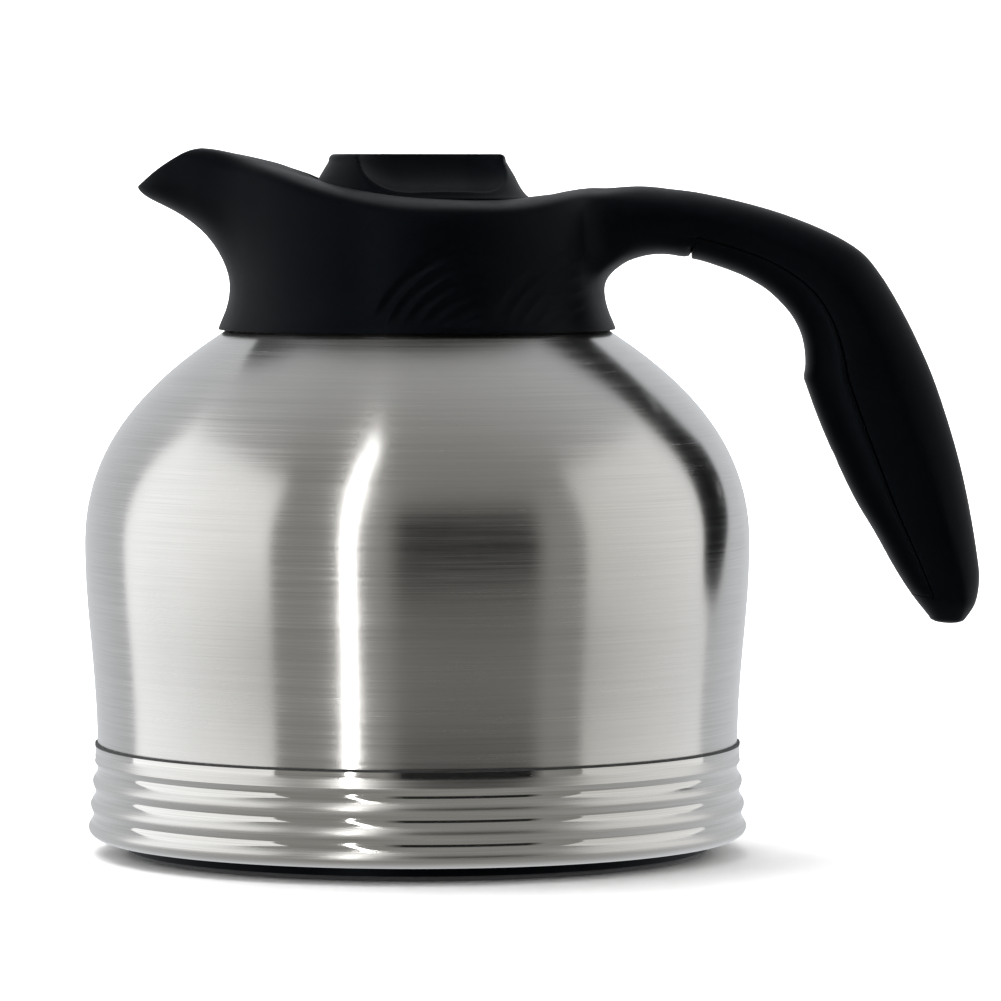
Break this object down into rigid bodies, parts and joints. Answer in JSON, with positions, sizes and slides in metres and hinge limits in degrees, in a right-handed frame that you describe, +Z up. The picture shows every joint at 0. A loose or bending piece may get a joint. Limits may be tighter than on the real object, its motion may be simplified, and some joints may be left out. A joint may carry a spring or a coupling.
{
  "type": "insulated pouring jug",
  "caption": "Double-walled steel vacuum jug that pours by tilting, with a ridged base band, a black collar with spout and open-ended handle, and a twist-knob stopper.",
  "frame": {"origin": "centre of the foot, on the surface that the jug stands on", "axes": "+Z up along the body's axis, spout along -X, handle along +X"},
  "size_m": [0.2358, 0.1752, 0.1858],
  "materials": {
    "brushed_steel": "fine circumferential brushing",
    "polished_steel": "polished",
    "getter_steel": "plain",
    "screw_steel": "plain",
    "black_plastic": "satin moulded",
    "seam_rubber": "matt",
    "foot_rubber": "matt",
    "silicone": "translucent satin",
    "foam": "foamed",
    "grey_plastic": "satin",
    "natural_plastic": "satin"
  },
  "bodies": {
    "jug": {"outer_shell": "brushed_steel", "inner_flask": "polished_steel", "mouth_ring": "polished_steel", "vacuum_bottom": "polished_steel", "getter": "getter_steel", "evacuation_cap": "polished_steel", "seam_ring": "seam_rubber", "base_band": "brushed_steel", "base_plate": "black_plastic", "foot_ring": "foot_rubber", "base_bosses": "getter_steel", "base_screws": "screw_steel", "neck_ring": "polished_steel", "neck_gasket": "silicone", "neck_insert": "black_plastic", "collar_handle": "black_plastic", "handle_cover": "black_plastic", "handle_screws": "screw_steel"},
    "stopper": {"stopper_body": "black_plastic", "stopper_floor": "black_plastic", "stopper_seal": "silicone", "stopper_foam": "foam", "stopper_deck": "black_plastic", "deck_screws": "screw_steel", "valve_spring": "screw_steel"},
    "knob": {"knob": "black_plastic", "knob_spindle": "grey_plastic", "valve_cam": "natural_plastic", "spindle_screw": "screw_steel"},
    "valve": {"valve_stem": "natural_plastic", "valve_disc": "black_plastic", "valve_seal": "silicone"}
  },
  "joints": [
    {"name": "stopper_lift", "type": "slide", "parent": "jug", "child": "stopper", "axis": [0, 0, 1], "range_m": [0, 0.06]},
    {"name": "knob_turn", "type": "hinge", "parent": "stopper", "child": "knob", "pos_m": [0, 0, 0.17], "axis": [0, 0, 1], "range_deg": [0, 90]},
    {"name": "valve_slide", "type": "slide", "parent": "stopper", "child": "valve", "axis": [0, 0, -1], "range_m": [0, 0.004], "deforming": ["valve_spring"]}
  ],
  "couplings": [
    {"joint": "valve_slide", "follows": "knob_turn", "m_per_rad": 0.002546}
  ]
}
